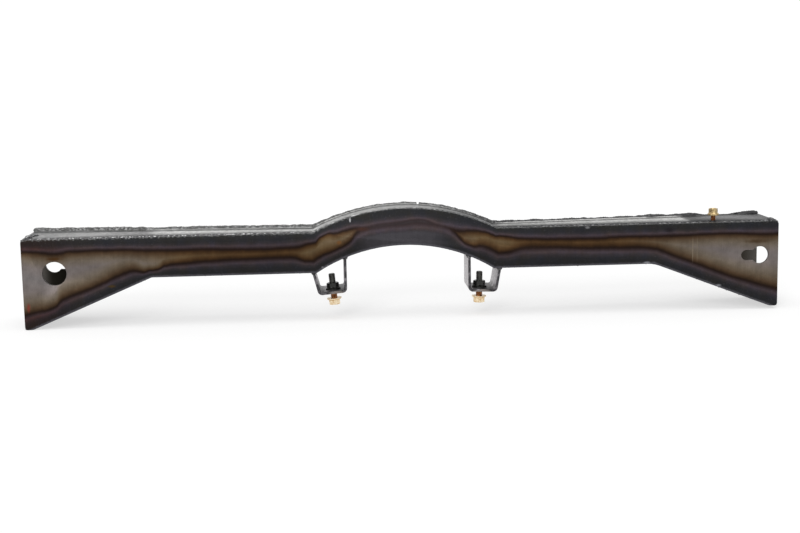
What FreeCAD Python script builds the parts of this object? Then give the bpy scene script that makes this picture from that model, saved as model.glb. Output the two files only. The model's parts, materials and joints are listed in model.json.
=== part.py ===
import FreeCAD, Part
import math
import os

from FreeCAD import Vector

# Center crossmember, in millimetres.
# +X runs along the bar, the front plate faces -Y, +Z is up.
# The origin is the middle of the footprint, on the ground under the longer foot.

# Plates and bar
length = 914.4
plate_thickness = 3.2
strip_thickness = 3.2
bar_height = 48.6
middle_depth = 56.0
end_depth = 88.0

# Arch over the propeller shaft
arch_half_span = 110.9
arch_rise = 26.7
arch_section = 44.1

# Flared ends and their feet
left_end_height = 108.4
right_end_height = 104.6
left_flare_reach = 152.7
right_flare_reach = 153.9
foot_flat = 9.6
foot_bend_radius = 15.0
left_flare_radius = 8.0
right_flare_radius = 40.0
corner_radius = 3.4

# Holes through the ends of the plates
hole_drop = 41.0
round_hole_radius = 14.2
round_hole_from_end = 38.3
keyhole_radius = 10.5
keyhole_from_end = 22.8
keyhole_slot_height = 12.5
keyhole_slot_reach = 23.2

# Welds
weld_groove = 2.2
strip_seam_x = 19.5
strip_seam_gap = 1.6
rear_bead_radius = 3.5
rear_bead_inset = 3.6
rear_bead_end_gap = 1.5
rear_bead_notch = 2.4
bracket_bead_radius = 3.4
bracket_bead_overhang = 0.6

# Carrier bearing brackets
bracket_width = 50.8
bracket_thickness = 3.2
bracket_inset = 2.0
bracket_bolt_from_edge = 19.05
bracket_bend_radius = 2.6
left_bracket_reach = 71.2
left_bracket_drop = 25.0
left_bracket_base = 34.5
left_bracket_tilt = 5.0
left_bracket_lean = 14.6
left_bolt_from_inner_leg = 16.4
right_bracket_reach = 76.0
right_bracket_drop = 28.3
right_bracket_base = 34.9
right_bracket_tilt = 1.5
right_bracket_lean = 10.6
right_bolt_from_inner_leg = 15.0

# M8 flange bolts and flange nuts
bolt_radius = 4.0
bolt_length = 30.0
bolt_clamp_gap = 7.5
bolt_hex_width = 13.0
bolt_head_height = 8.1
bolt_flange_radius = 8.95
bolt_hole_radius = 4.5
nut_height = 8.0
nut_hex_width = 13.0
nut_flange_radius = 8.95
flange_rim = 1.2
flange_cone_height = 1.8
thread_clearance = 0.1

# M6 screw for a brake line clip, and the nut welded under the strip
clip_screw_from_end = 74.0
clip_screw_from_front = 27.0
clip_screw_radius = 3.0
clip_screw_length = 20.0
clip_screw_stand_off = 6.1
clip_screw_hex_width = 10.0
clip_screw_head_height = 8.5
clip_screw_flange_radius = 7.0
clip_screw_hole_radius = 3.3
clip_nut_width = 11.0
clip_nut_height = 5.0

# Places that follow from the sizes
half = length / 2.0
front = -end_depth / 2.0
bar_top = max(left_end_height, right_end_height)
bar_bottom = bar_top - bar_height
arch_top_radius = (arch_half_span ** 2 + arch_rise ** 2) / (2.0 * arch_rise)
arch_centre_z = bar_top + arch_rise - arch_top_radius
arch_bottom_radius = arch_top_radius - arch_section
flare_angle_in_plan = math.atan2(end_depth - middle_depth, half - arch_half_span)
clear_height = bar_top + 2.0 * arch_rise
hole_cutter = 2.0 * plate_thickness

UP = Vector(0, 0, 1)
BACK = Vector(0, 1, 0)
SIDE_VIEW = Vector(0, -1, 0)


def shifted(points, distance, axis):
    # A broken line moved to its left, seen with the axis towards the eye, with sharp corners
    normals = []
    for start, end in zip(points, points[1:]):
        normals.append(axis.cross(end - start).normalize())
    moved = [points[0] + normals[0] * distance]
    for point, before, after in zip(points[1:], normals, normals[1:]):
        moved.append(point + (before + after) * (distance / (1.0 + before.dot(after))))
    moved.append(points[-1] + normals[-1] * distance)
    return moved


def rounded_edges(points, radii):
    # Straight edges through the points, with a tangent arc of the given radius at each corner
    edges = []
    start = points[0]
    for before, corner, after, radius in zip(points, points[1:], points[2:], radii):
        back = (before - corner).normalize()
        ahead = (after - corner).normalize()
        half_angle = back.getAngle(ahead) / 2.0
        reach = radius / math.tan(half_angle)
        bisector = (back + ahead).normalize()
        arc_middle = corner + bisector * (radius / math.sin(half_angle) - radius)
        arc_start = corner + back * reach
        arc_end = corner + ahead * reach
        edges.append(Part.makeLine(start, arc_start))
        edges.append(Part.Arc(arc_start, arc_middle, arc_end).toShape())
        start = arc_end
    edges.append(Part.makeLine(start, points[-1]))
    return edges


def arch_corner(radius, height):
    # Distance from the middle at which an arch of this radius meets a level line
    return math.sqrt(radius ** 2 - (height - arch_centre_z) ** 2)


def arch_edge(radius, corner, height):
    crown = Vector(0, 0, arch_centre_z + radius)
    return Part.Arc(Vector(-corner, 0, height), crown, Vector(corner, 0, height)).toShape()


def top_edges(depth=0.0):
    # The bar's upper outline, moved down into the section by depth
    height = bar_top - depth
    radius = arch_top_radius - depth
    corner = arch_corner(radius, height)
    left = Part.makeLine(Vector(-half, 0, height), Vector(-corner, 0, height))
    right = Part.makeLine(Vector(corner, 0, height), Vector(half, 0, height))
    return [left, arch_edge(radius, corner, height), right]


def bottom_edges(depth=0.0):
    # The bar's lower outline with both flares, moved up into the section by depth
    height = bar_bottom + depth
    radius = arch_bottom_radius + depth
    corner = arch_corner(radius, height)
    left_foot = bar_top - left_end_height
    right_foot = bar_top - right_end_height
    foot_x = half - foot_flat
    left = [
        Vector(-half, 0, left_foot),
        Vector(-foot_x, 0, left_foot),
        Vector(left_flare_reach - half, 0, bar_bottom),
        Vector(-corner, 0, bar_bottom),
    ]
    right = [
        Vector(corner, 0, bar_bottom),
        Vector(half - right_flare_reach, 0, bar_bottom),
        Vector(foot_x, 0, right_foot),
        Vector(half, 0, right_foot),
    ]
    foot_radius = foot_bend_radius - depth
    left_radii = [foot_radius, left_flare_radius + depth]
    right_radii = [right_flare_radius + depth, foot_radius]
    edges = rounded_edges(shifted(left, depth, SIDE_VIEW), left_radii)
    edges.append(arch_edge(radius, corner, height))
    edges.extend(rounded_edges(shifted(right, depth, SIDE_VIEW), right_radii))
    return edges


def face_between(lower, upper):
    # Flat face between two outlines that run from the left end to the right end
    left_end = Part.makeLine(lower[0].Vertexes[0].Point, upper[0].Vertexes[0].Point)
    right_end = Part.makeLine(lower[-1].Vertexes[-1].Point, upper[-1].Vertexes[-1].Point)
    return Part.Face(Part.Wire(Part.__sortEdges__(lower + upper + [left_end, right_end])))


def across_bar(face):
    # A side view face run through the bar's whole depth
    placed = face.copy()
    placed.translate(BACK * front)
    return placed.extrude(BACK * end_depth)


def rear_line(inset=0.0):
    # The rear plate in plan, moved forward by inset: straight behind the arch, then splayed
    points = [
        Vector(-half, front + end_depth, 0),
        Vector(-arch_half_span, front + middle_depth, 0),
        Vector(arch_half_span, front + middle_depth, 0),
        Vector(half, front + end_depth, 0),
    ]
    moved = shifted(points, -inset, UP)
    slope = math.tan(flare_angle_in_plan)
    for end, bend in ((0, 1), (3, 2)):
        run = half - abs(moved[bend].x)
        moved[end] = Vector(math.copysign(half, moved[end].x), moved[bend].y + slope * run, 0)
    return moved


def plan_prism(rear_points, front_points):
    # A plan outline, front edge and rear edge both from left to right, run up through the part
    outline = Part.makePolygon(rear_points + front_points[::-1] + [rear_points[0]])
    return Part.Face(outline).extrude(UP * clear_height)


def front_line(inset=0.0):
    # The front plate in plan, moved back by inset
    return [Vector(-half, front + inset, 0), Vector(half, front + inset, 0)]


def side_outline():
    return face_between(bottom_edges(), top_edges())


def envelope():
    # The bar as if it were solid: what the brackets and their welds are trimmed to
    return across_bar(side_outline()).common(plan_prism(rear_line(), front_line()))


def round_plate_corners(plate):
    # The short edges across the plate's thickness, at its two ends
    corners = []
    for edge in plate.Edges:
        at_end = math.isclose(abs(edge.CenterOfMass.x), half, abs_tol=plate_thickness / 2.0)
        start, end = [vertex.Point for vertex in edge.Vertexes]
        if at_end and math.isclose(start.z, end.z, abs_tol=plate_thickness / 2.0):
            corners.append(edge)
    return plate.makeFillet(corner_radius, corners)


def hole_axis(side, from_end, rear):
    # Centre and direction of an end hole: square to the plate that it is cut in
    x = side * (half - from_end)
    height = bar_top - hole_drop
    if not rear:
        return Vector(x, front, height), BACK
    behind = front + middle_depth
    y = behind + math.tan(flare_angle_in_plan) * (abs(x) - arch_half_span)
    slant = Vector(-side * math.sin(flare_angle_in_plan), math.cos(flare_angle_in_plan), 0)
    return Vector(x, y, height), slant


def round_hole(side, rear):
    centre, direction = hole_axis(side, round_hole_from_end, rear)
    start = centre - direction * hole_cutter
    return Part.makeCylinder(round_hole_radius, 2.0 * hole_cutter, start, direction)


def keyhole(side, rear):
    # A round hole with a round-ended slot that points to the middle of the bar
    centre, direction = hole_axis(side, keyhole_from_end, rear)
    through = 2.0 * hole_cutter
    start = centre - direction * hole_cutter
    slot_radius = keyhole_slot_height / 2.0
    inward = UP.cross(direction) * side
    run = keyhole_slot_reach - slot_radius
    slot_end = start + inward * run
    hole = Part.makeCylinder(keyhole_radius, through, start, direction)
    tip = Part.makeCylinder(slot_radius, through, slot_end, direction)
    low = UP * -slot_radius
    high = UP * slot_radius
    outline = [start + low, slot_end + low, slot_end + high, start + high, start + low]
    slot = Part.Face(Part.makePolygon(outline)).extrude(direction * through)
    return hole.fuse([tip, slot])


def front_plate():
    face = side_outline()
    face.translate(BACK * front)
    plate = round_plate_corners(face.extrude(BACK * plate_thickness))
    return plate.cut([round_hole(-1, False), keyhole(1, False)])


def rear_plate():
    # The same pattern turned end for end, and bent at both ends of the arch
    sheet = plan_prism(rear_line(), rear_line(plate_thickness))
    plate = round_plate_corners(across_bar(side_outline()).common(sheet))
    return plate.cut([round_hole(1, True), keyhole(-1, True)])


def seam_block(gap):
    # A thin block across the bar where the two halves of a strip meet
    low = Vector(strip_seam_x - gap / 2.0, front, 0)
    return Part.makeBox(gap, end_depth, clear_height, low)


def split_at_seam(shape, gap):
    left, right = sorted(shape.cut(seam_block(gap)).Solids, key=lambda solid: solid.CenterOfMass.x)
    return left, right


def weld_run(rear):
    # The narrow lane in plan where a strip is welded to the front or the rear plate
    if rear:
        return plan_prism(rear_line(plate_thickness), rear_line(plate_thickness + weld_groove))
    return plan_prism(front_line(plate_thickness + weld_groove), front_line(plate_thickness))


def edge_weld(outer_edges, groove_edges, rear):
    # Weld metal, ground flush, in the groove along a strip's edge
    return across_bar(face_between(outer_edges, groove_edges)).common(weld_run(rear))


def strip_between(outer_edges, inner_edges, groove_edges):
    # A strip that fills the space between the plates, grooved where it is welded to them
    inside = plan_prism(rear_line(plate_thickness), front_line(plate_thickness))
    strip = across_bar(face_between(outer_edges, inner_edges)).common(inside)
    grooves = [edge_weld(outer_edges, groove_edges, rear) for rear in (False, True)]
    return strip.cut(grooves)


def rear_bead():
    # The raised weld along the rear top corner, left as it was laid
    line = rear_line(rear_bead_inset)
    slope = math.tan(flare_angle_in_plan)
    end_x = half - rear_bead_end_gap
    end_y = line[1].y + slope * (end_x - arch_half_span)
    corner_y = line[1].y
    runs = []
    for side in (-1, 1):
        end = Vector(side * end_x, end_y, bar_top)
        corner = Vector(side * arch_half_span, corner_y, bar_top)
        run = corner - end
        runs.append(Part.makeCylinder(rear_bead_radius, run.Length, end, run))
    start = Vector(-arch_half_span, corner_y, bar_top)
    centre = Vector(0, corner_y, arch_centre_z)
    tangent = BACK.cross(start - centre)
    ring = Part.Wire(Part.makeCircle(rear_bead_radius, start, tangent))
    sweep = 2.0 * math.degrees(math.asin(arch_half_span / arch_top_radius))
    over_arch = Part.Face(ring).revolve(centre, BACK, sweep)
    return over_arch.fuse(runs)


def bracket_points(side, reach, drop, base, tilt, lean):
    # The folded strip's outer line: up the inner leg, under the bolt and up the outer leg
    slope = math.radians(tilt)
    inner = Vector(side * reach, 0, bar_bottom - drop)
    outer = inner + Vector(side * base * math.cos(slope), 0, -base * math.sin(slope))
    leg_top = bar_bottom + arch_rise
    spread = side * math.tan(math.radians(lean)) * (leg_top - outer.z)
    inner_top = Vector(inner.x, 0, leg_top)
    outer_top = Vector(outer.x + spread, 0, leg_top)
    return [inner_top, inner, outer, outer_top]


def bolt_axis(side, points, from_inner_leg):
    # Where a bracket's bolt crosses the underside, and the direction up along the bolt
    inner, outer = points[1], points[2]
    along = (outer - inner).normalize()
    seat = inner + along * from_inner_leg
    seat = Vector(seat.x, front + bracket_inset + bracket_bolt_from_edge, seat.z)
    return seat, BACK.cross(along) * -side


def bracket(side, points, from_inner_leg, bar):
    # Flat bar folded to a U, drilled for its bolt and trimmed to the bar's underside
    outer_radius = bracket_bend_radius + bracket_thickness
    outside = rounded_edges(points, [outer_radius, outer_radius])
    inner_points = shifted(points, side * bracket_thickness, SIDE_VIEW)
    inside = rounded_edges(inner_points, [bracket_bend_radius, bracket_bend_radius])
    face = face_between(outside, inside)
    face.translate(BACK * (front + bracket_inset))
    folded = face.extrude(BACK * bracket_width)
    seat, up = bolt_axis(side, points, from_inner_leg)
    low = seat - up * bracket_thickness
    hole = Part.makeCylinder(bolt_hole_radius, 3.0 * bracket_thickness, low, up)
    return folded.cut([bar, hole])


def bracket_welds(side, points, folded, bar):
    # A bead all round the top of each leg, against the bar's underside
    inner_top, inner, outer, outer_top = points
    underside = Part.Wire(Part.__sortEdges__(bottom_edges()))
    start_y = front + bracket_inset - bracket_bead_overhang
    bead_length = bracket_width + 2.0 * bracket_bead_overhang
    beads = []
    for leg, into_leg in (((inner_top, inner), side), ((outer_top, outer), -side)):
        crossing = Part.makeLine(*leg).distToShape(underside)[1][0][0]
        start = Vector(crossing.x + into_leg * bracket_thickness / 2.0, start_y, crossing.z)
        bead = Part.makeCylinder(bracket_bead_radius, bead_length, start, BACK)
        beads.append(bead.cut([bar, folded]))
    return Part.makeCompound(beads)


def hexagon(width, height):
    # A hexagonal prism on the ground plane, from its width across the flats
    corner = width / math.sqrt(3.0)
    points = []
    for step in range(7):
        angle = math.radians(60.0 * step)
        points.append(Vector(corner * math.cos(angle), corner * math.sin(angle), 0))
    return Part.Face(Part.makePolygon(points)).extrude(UP * height)


def flanged_hexagon(width, height, flange_radius):
    # A hexagon that stands on a flat flange with a conical top
    rim = Part.makeCylinder(flange_radius, flange_rim)
    rise = Vector(0, 0, flange_rim)
    cone = Part.makeCone(flange_radius, width / 2.0, flange_cone_height, rise, UP)
    return hexagon(width, height).fuse([rim, cone])


def flange_screw(radius, shank_length, hex_width, head_height, flange_radius):
    # Head above the ground plane, shank below it
    head = flanged_hexagon(hex_width, head_height, flange_radius)
    shank = Part.makeCylinder(radius, shank_length, UP * -shank_length, UP)
    return head.fuse(shank).removeSplitter()


def flange_nut():
    bore = Part.makeCylinder(bolt_radius + thread_clearance, nut_height)
    return flanged_hexagon(nut_hex_width, nut_height, nut_flange_radius).cut(bore)


def placed(shape, origin, direction):
    # The shape with its own +Z turned to the direction, at the origin given
    moved = shape.copy()
    moved.Placement = FreeCAD.Placement(origin, FreeCAD.Rotation(UP, direction))
    return moved


def bearing_bolt(seat, up):
    screw = flange_screw(bolt_radius, bolt_length, bolt_hex_width, bolt_head_height,
                         bolt_flange_radius)
    return placed(screw, seat - up * bolt_clamp_gap, up * -1.0)


def bearing_nut(seat, up):
    return placed(flange_nut(), seat + up * bracket_thickness, up)


def clip_screw_place():
    return Vector(half - clip_screw_from_end, front + clip_screw_from_front, bar_top)


def clip_screw():
    screw = flange_screw(clip_screw_radius, clip_screw_length, clip_screw_hex_width,
                         clip_screw_head_height, clip_screw_flange_radius)
    return placed(screw, clip_screw_place() + UP * clip_screw_stand_off, UP)


def clip_hole():
    start = clip_screw_place() - UP * (2.0 * strip_thickness)
    return Part.makeCylinder(clip_screw_hole_radius, 3.0 * strip_thickness, start, UP)


def clip_nut():
    top = clip_screw_place() - UP * strip_thickness
    bore = Part.makeCylinder(clip_screw_radius + thread_clearance, clip_nut_height)
    return placed(hexagon(clip_nut_width, clip_nut_height).cut(bore), top, UP * -1.0)


def main():
    parts = {}
    bar = envelope()
    parts["front_plate"] = front_plate()
    parts["rear_plate"] = rear_plate()

    top_outer = top_edges()
    top_groove = top_edges(weld_groove)
    top_strip = strip_between(top_outer, top_edges(strip_thickness), top_groove)
    bottom_outer = bottom_edges()
    bottom_groove = bottom_edges(weld_groove)
    bottom_strip = strip_between(bottom_outer, bottom_edges(strip_thickness), bottom_groove)

    rear_top = edge_weld(top_outer, top_groove, True)
    rear_top = rear_top.fuse(rear_bead().cut(bar)).removeSplitter()
    rear_top_left, rear_top_right = split_at_seam(rear_top, rear_bead_notch)
    parts["front_top_weld"] = edge_weld(top_outer, top_groove, False)
    parts["rear_top_weld_left"] = rear_top_left
    parts["rear_top_weld_right"] = rear_top_right
    parts["front_bottom_weld"] = edge_weld(bottom_outer, bottom_groove, False)
    parts["rear_bottom_weld"] = edge_weld(bottom_outer, bottom_groove, True)
    parts["top_seam_weld"] = top_strip.common(seam_block(strip_seam_gap))
    parts["bottom_seam_weld"] = bottom_strip.common(seam_block(strip_seam_gap))

    left_top, right_top = split_at_seam(top_strip, strip_seam_gap)
    left_bottom, right_bottom = split_at_seam(bottom_strip, strip_seam_gap)
    parts["left_top_strip"] = left_top
    parts["right_top_strip"] = right_top.cut(clip_hole())
    parts["left_bottom_strip"] = left_bottom
    parts["right_bottom_strip"] = right_bottom

    left_points = bracket_points(-1, left_bracket_reach, left_bracket_drop, left_bracket_base,
                                 left_bracket_tilt, left_bracket_lean)
    right_points = bracket_points(1, right_bracket_reach, right_bracket_drop, right_bracket_base,
                                  right_bracket_tilt, right_bracket_lean)
    for name, side, points, from_inner_leg in (
        ("left", -1, left_points, left_bolt_from_inner_leg),
        ("right", 1, right_points, right_bolt_from_inner_leg),
    ):
        folded = bracket(side, points, from_inner_leg, bar)
        seat, up = bolt_axis(side, points, from_inner_leg)
        parts[name + "_bracket"] = folded
        parts[name + "_bracket_welds"] = bracket_welds(side, points, folded, bar)
        parts[name + "_bearing_bolt"] = bearing_bolt(seat, up)
        parts[name + "_flange_nut"] = bearing_nut(seat, up)

    parts["line_clip_screw"] = clip_screw()
    parts["clip_weld_nut"] = clip_nut()

    os.makedirs("parts", exist_ok=True)
    for name, shape in parts.items():
        shape.exportStep("parts/" + name + ".step")
        solids = len(shape.Solids)
        print(name, "solids", solids, "volume", round(shape.Volume, 1), "valid", shape.isValid())


main()
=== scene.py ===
import json
import math
import random
import bmesh
import bpy
from mathutils import Matrix, Vector, noise


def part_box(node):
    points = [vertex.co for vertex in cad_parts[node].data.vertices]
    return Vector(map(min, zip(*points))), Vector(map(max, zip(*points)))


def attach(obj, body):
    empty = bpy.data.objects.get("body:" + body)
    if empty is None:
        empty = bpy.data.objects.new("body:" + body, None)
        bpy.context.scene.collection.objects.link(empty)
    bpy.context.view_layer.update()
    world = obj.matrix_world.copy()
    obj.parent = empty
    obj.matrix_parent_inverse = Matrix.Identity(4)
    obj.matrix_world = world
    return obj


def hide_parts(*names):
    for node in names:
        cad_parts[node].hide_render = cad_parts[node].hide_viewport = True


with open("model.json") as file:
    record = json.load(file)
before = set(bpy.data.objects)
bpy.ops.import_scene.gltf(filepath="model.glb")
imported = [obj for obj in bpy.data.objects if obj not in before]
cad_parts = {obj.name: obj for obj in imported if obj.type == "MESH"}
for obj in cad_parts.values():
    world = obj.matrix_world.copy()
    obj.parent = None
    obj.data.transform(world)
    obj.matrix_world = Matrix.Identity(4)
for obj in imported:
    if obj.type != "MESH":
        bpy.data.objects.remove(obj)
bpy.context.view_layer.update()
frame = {"nodes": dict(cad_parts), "record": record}
nodes = frame["nodes"]
mounts = {mount["name"]: mount for mount in frame["record"]["mounts"]}
mm = 0.001
print("frame loaded:", len(nodes), "nodes")

# the bar's outline in millimetres, read from the frame wherever a node gives it
bar = {
    "halfLength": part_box("front_plate")[1].x / mm,
    "front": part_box("front_plate")[0].y / mm,
    "thickness": 3.2,
    "height": 48.6,
    "archHalfSpan": 110.9,
    "archRise": 26.7,
    "archSection": 44.1,
    "underInset": 14.0,
    "middleDepth": 56.0,
    "endDepth": 88.0,
    "leftFlareReach": 152.7,
    "rightFlareReach": 153.9,
    "footFlat": 9.6,
    "rightFootRise": 3.8,
}
bar["top"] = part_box("clip_weld_nut")[1].z / mm + bar["thickness"]
bar["bottom"] = bar["top"] - bar["height"]
bar["archRadius"] = (bar["archHalfSpan"] ** 2 + bar["archRise"] ** 2) / (2 * bar["archRise"])
bar["archCentre"] = bar["top"] + bar["archRise"] - bar["archRadius"]
bar["underRadius"] = bar["archRadius"] - bar["archSection"]
bar["splay"] = (bar["endDepth"] - bar["middleDepth"]) / (bar["halfLength"] - bar["archHalfSpan"])


# shader helpers

def tone(red, green, blue):
    # a colour as it looks on screen, 0 to 255, turned into the linear values that sockets take
    linear = []
    for part in (red, green, blue):
        share = part / 255
        linear.append(share / 12.92 if share <= 0.04045 else ((share + 0.055) / 1.055) ** 2.4)
    return (*linear, 1.0)


def newMaterial(name, roughness=0.5, metallic=0.0, specular=0.5):
    material = bpy.data.materials.new(name)
    material.use_nodes = True
    shader = material.node_tree.nodes["Principled BSDF"]
    shader.inputs["Roughness"].default_value = roughness
    shader.inputs["Metallic"].default_value = metallic
    shader.inputs["Specular IOR Level"].default_value = specular
    return material, material.node_tree, shader


def addNode(tree, kind, **settings):
    node = tree.nodes.new("ShaderNode" + kind)
    for key, value in settings.items():
        setattr(node, key, value)
    return node


def feed(tree, socket, value):
    if isinstance(value, bpy.types.NodeSocket):
        tree.links.new(value, socket)
    else:
        socket.default_value = value


def calc(tree, operation, *values):
    node = addNode(tree, "Math", operation=operation)
    for socket, value in zip(node.inputs, values):
        feed(tree, socket, value)
    return node.outputs[0]


def between(tree, value, low, high, outLow=0.0, outHigh=1.0):
    # eased step from outLow to outHigh as value goes from low to high
    node = addNode(tree, "MapRange", interpolation_type="SMOOTHSTEP")
    for socket, setting in zip(node.inputs, (value, low, high, outLow, outHigh)):
        feed(tree, socket, setting)
    return node.outputs[0]


def fading(tree, value, low, high):
    # eased step down from 1 to 0
    return between(tree, value, low, high, 1.0, 0.0)


def lengthOf(tree, across, up):
    squares = [calc(tree, "MULTIPLY", part, part) for part in (across, up)]
    return calc(tree, "SQRT", calc(tree, "ADD", *squares))


def blendColours(tree, factor, first, second, mode="MIX"):
    node = addNode(tree, "Mix", data_type="RGBA", blend_type=mode)
    feed(tree, node.inputs[0], factor)
    feed(tree, node.inputs[6], first)
    feed(tree, node.inputs[7], second)
    return node.outputs[2]


def rampOf(tree, factor, stops, reach=1.0):
    # stops are (place, colour) with places from 0 to reach
    node = addNode(tree, "ValToRGB")
    feed(tree, node.inputs[0], calc(tree, "DIVIDE", factor, reach) if reach != 1.0 else factor)
    elements = node.color_ramp.elements
    while len(elements) < len(stops):
        elements.new(0.5)
    for element, (place, colour) in zip(elements, stops):
        element.position = place / reach
        element.color = colour
    return node.outputs[0]


def alongBar(tree, x, stations, largest):
    # a value given at stations along the bar, both in millimetres
    node = addNode(tree, "FloatCurve")
    share = calc(tree, "DIVIDE", calc(tree, "ADD", x, bar["halfLength"]), 2 * bar["halfLength"])
    feed(tree, node.inputs["Value"], share)
    points = node.mapping.curves[0].points
    while len(points) < len(stations):
        points.new(0.5, 0.5)
    for point, (station, value) in zip(points, stations):
        place = (station + bar["halfLength"]) / (2 * bar["halfLength"])
        point.location = (min(max(place, 0), 1), value / largest)
        point.handle_type = "AUTO_CLAMPED"
    node.mapping.update()
    return calc(tree, "MULTIPLY", node.outputs[0], largest)


def millimetres(tree):
    # object coordinates in millimetres, whole and as x, y, z
    place = addNode(tree, "VectorMath", operation="SCALE")
    feed(tree, place.inputs[0], addNode(tree, "TexCoord").outputs["Object"])
    place.inputs["Scale"].default_value = 1 / mm
    split = addNode(tree, "SeparateXYZ")
    feed(tree, split.inputs[0], place.outputs[0])
    return place.outputs[0], split.outputs[0], split.outputs[1], split.outputs[2]


def noiseOf(tree, place, size, detail=2.0, rough=0.5, stretch=(1, 1, 1)):
    # noise from 0 to 1 whose lumps are about size millimetres wide
    mapping = addNode(tree, "Mapping")
    feed(tree, mapping.inputs["Vector"], place)
    mapping.inputs["Scale"].default_value = [1 / (size * part) for part in stretch]
    node = addNode(tree, "TexNoise")
    feed(tree, node.inputs["Vector"], mapping.outputs[0])
    node.inputs["Scale"].default_value = 1.0
    node.inputs["Detail"].default_value = detail
    node.inputs["Roughness"].default_value = rough
    return node.outputs[0]


def sway(tree, place, size, reach, detail, rough=0.5):
    # noise that swings by half of reach to either side of 0
    return calc(tree, "MULTIPLY_ADD", noiseOf(tree, place, size, detail, rough), reach, -reach / 2)


def bumpOn(tree, shader, height, distance, strength=1.0):
    node = addNode(tree, "Bump")
    node.inputs["Distance"].default_value = distance * mm
    node.inputs["Strength"].default_value = strength
    feed(tree, node.inputs["Height"], height)
    feed(tree, shader.inputs["Normal"], node.outputs[0])


def outlineDepths(tree, x, z):
    # how far a point of a plate lies inside the upper and the lower outline
    down = calc(tree, "SUBTRACT", z, bar["archCentre"])
    radius = lengthOf(tree, x, down)
    belowTop = calc(tree, "SUBTRACT", bar["top"], z)
    insideArch = calc(tree, "SUBTRACT", bar["archRadius"], radius)
    fromTop = calc(tree, "MAXIMUM", belowTop, insideArch)
    lower = calc(tree, "SUBTRACT", z, bar["bottom"])
    for side, reach, foot in (
        (-1, bar["leftFlareReach"], 0.0),
        (1, bar["rightFlareReach"], bar["rightFootRise"]),
    ):
        run = reach - bar["footFlat"]
        fall = bar["bottom"] - foot
        slant = math.hypot(run, fall)
        start = bar["halfLength"] - reach
        outward = calc(tree, "SUBTRACT", calc(tree, "MULTIPLY", x, side), start)
        rise = calc(tree, "SUBTRACT", z, bar["bottom"])
        acrossX = calc(tree, "MULTIPLY", outward, fall / slant)
        acrossZ = calc(tree, "MULTIPLY", rise, run / slant)
        lower = calc(tree, "MAXIMUM", lower, calc(tree, "ADD", acrossX, acrossZ))
    overArch = calc(tree, "SUBTRACT", radius, bar["underRadius"])
    return fromTop, calc(tree, "MINIMUM", overArch, lower)


# the plates' heat tint

tint = {
    # depth of the dark brown line below the top weld and above the bottom weld, along the bar
    "topLine": [(-457, 13.6), (-432, 15.6), (-417, 17.2), (-400, 14.8), (-345, 14.4), (-290, 16.6),
                (-250, 16.5), (-185, 18.2), (-138, 17.3), (-118, 13.7), (-107, 11.6), (-99, 8.6),
                (-83, 12.6), (-62, 14), (-41, 18.6), (-8, 18.5), (19, 15), (42, 19.6), (60, 19.4),
                (75, 16), (94, 11), (107, 9.2), (122, 10.2), (140, 13.4), (230, 15.6), (265, 14.4),
                (316, 15.1), (385, 13.8), (417, 14.8), (443, 15.9), (457, 15.2)],
    "bottomLine": [(-457, 20), (-437, 17), (-420, 14.2), (-411, 19), (-368, 17.4), (-345, 18.2),
                   (-320, 13.6), (-303, 8.4), (-290, 13.6), (-268, 16), (-226, 18.4), (-170, 19.8),
                   (-141, 20), (-120, 15.2), (-99, 14.6), (-83, 13.5), (-60, 22.6), (-42, 27.6),
                   (-8, 27.2), (19, 29.6), (42, 29), (58, 23.5), (68, 15.8), (77, 12.8), (90, 16.6),
                   (104, 18.4), (121, 18.8), (150, 24.3), (180, 24), (206, 22.5), (265, 21.2),
                   (290, 20.4), (312, 18.2), (383, 18), (420, 19.6), (457, 22.8)],
    "deepest": 34.0,
    "reach": 3.2,
    # colours from the weld inwards, in shares of that depth
    "bands": [(0.0, tone(34, 35, 36)), (0.42, tone(37, 37, 40)), (0.6, tone(50, 46, 50)),
              (0.74, tone(66, 57, 62)), (0.86, tone(50, 40, 42)), (0.95, tone(32, 20, 17)),
              (1.02, tone(30, 17, 10)), (1.12, tone(52, 37, 23)), (1.26, tone(73, 56, 40)),
              (1.5, tone(91, 78, 63)), (1.8, tone(105, 95, 84)), (2.3, tone(111, 103, 100)),
              (3.1, tone(109, 104, 103))],
    # width of the swings of those lines and of their frayed edges, and how far they reach
    "wanderSize": 24,
    "wander": 2.0,
    "fraySize": 4.5,
    "fray": 1.4,
    # the dark bands turn from bluish to brownish, and are warmer towards the left end
    "bluish": (0.36, tone(244, 246, 255)),
    "brownish": (0.64, tone(255, 247, 232)),
    "warm": tone(255, 212, 198),
    "warmEnd": (-450, -370),
    # the light stretch between arch and flares is more golden than the ends
    "golden": tone(251, 234, 198),
    "goldenFrom": (40, 100),
    "goldenTo": (250, 330),
    # the lower half of the arch's crown is greyer
    "crownLower": tone(58, 56, 60),
    "crownMiddle": tone(52, 46, 49),
    "crownFrom": (-66, -30),
    "crownTo": (24, 60),
    # ground edges, more of them on the left along the top
    "bottomEdge": tone(80, 79, 84),
    "topEdge": tone(124, 124, 124),
    "chipsOnLeft": (-250, 60),
    # painted shade on faces that look into the box: dark in general, lighter behind the keyhole and in
    # the open ends, where light gets in
    "inside": tone(25, 22, 15),
    "shadeBehindKeyhole": tone(66, 60, 53),
    "behindKeyhole": (330, 400),
    "shadeInOpenEnds": tone(92, 88, 84),
    "openEnd": (436, 456),
}

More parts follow.
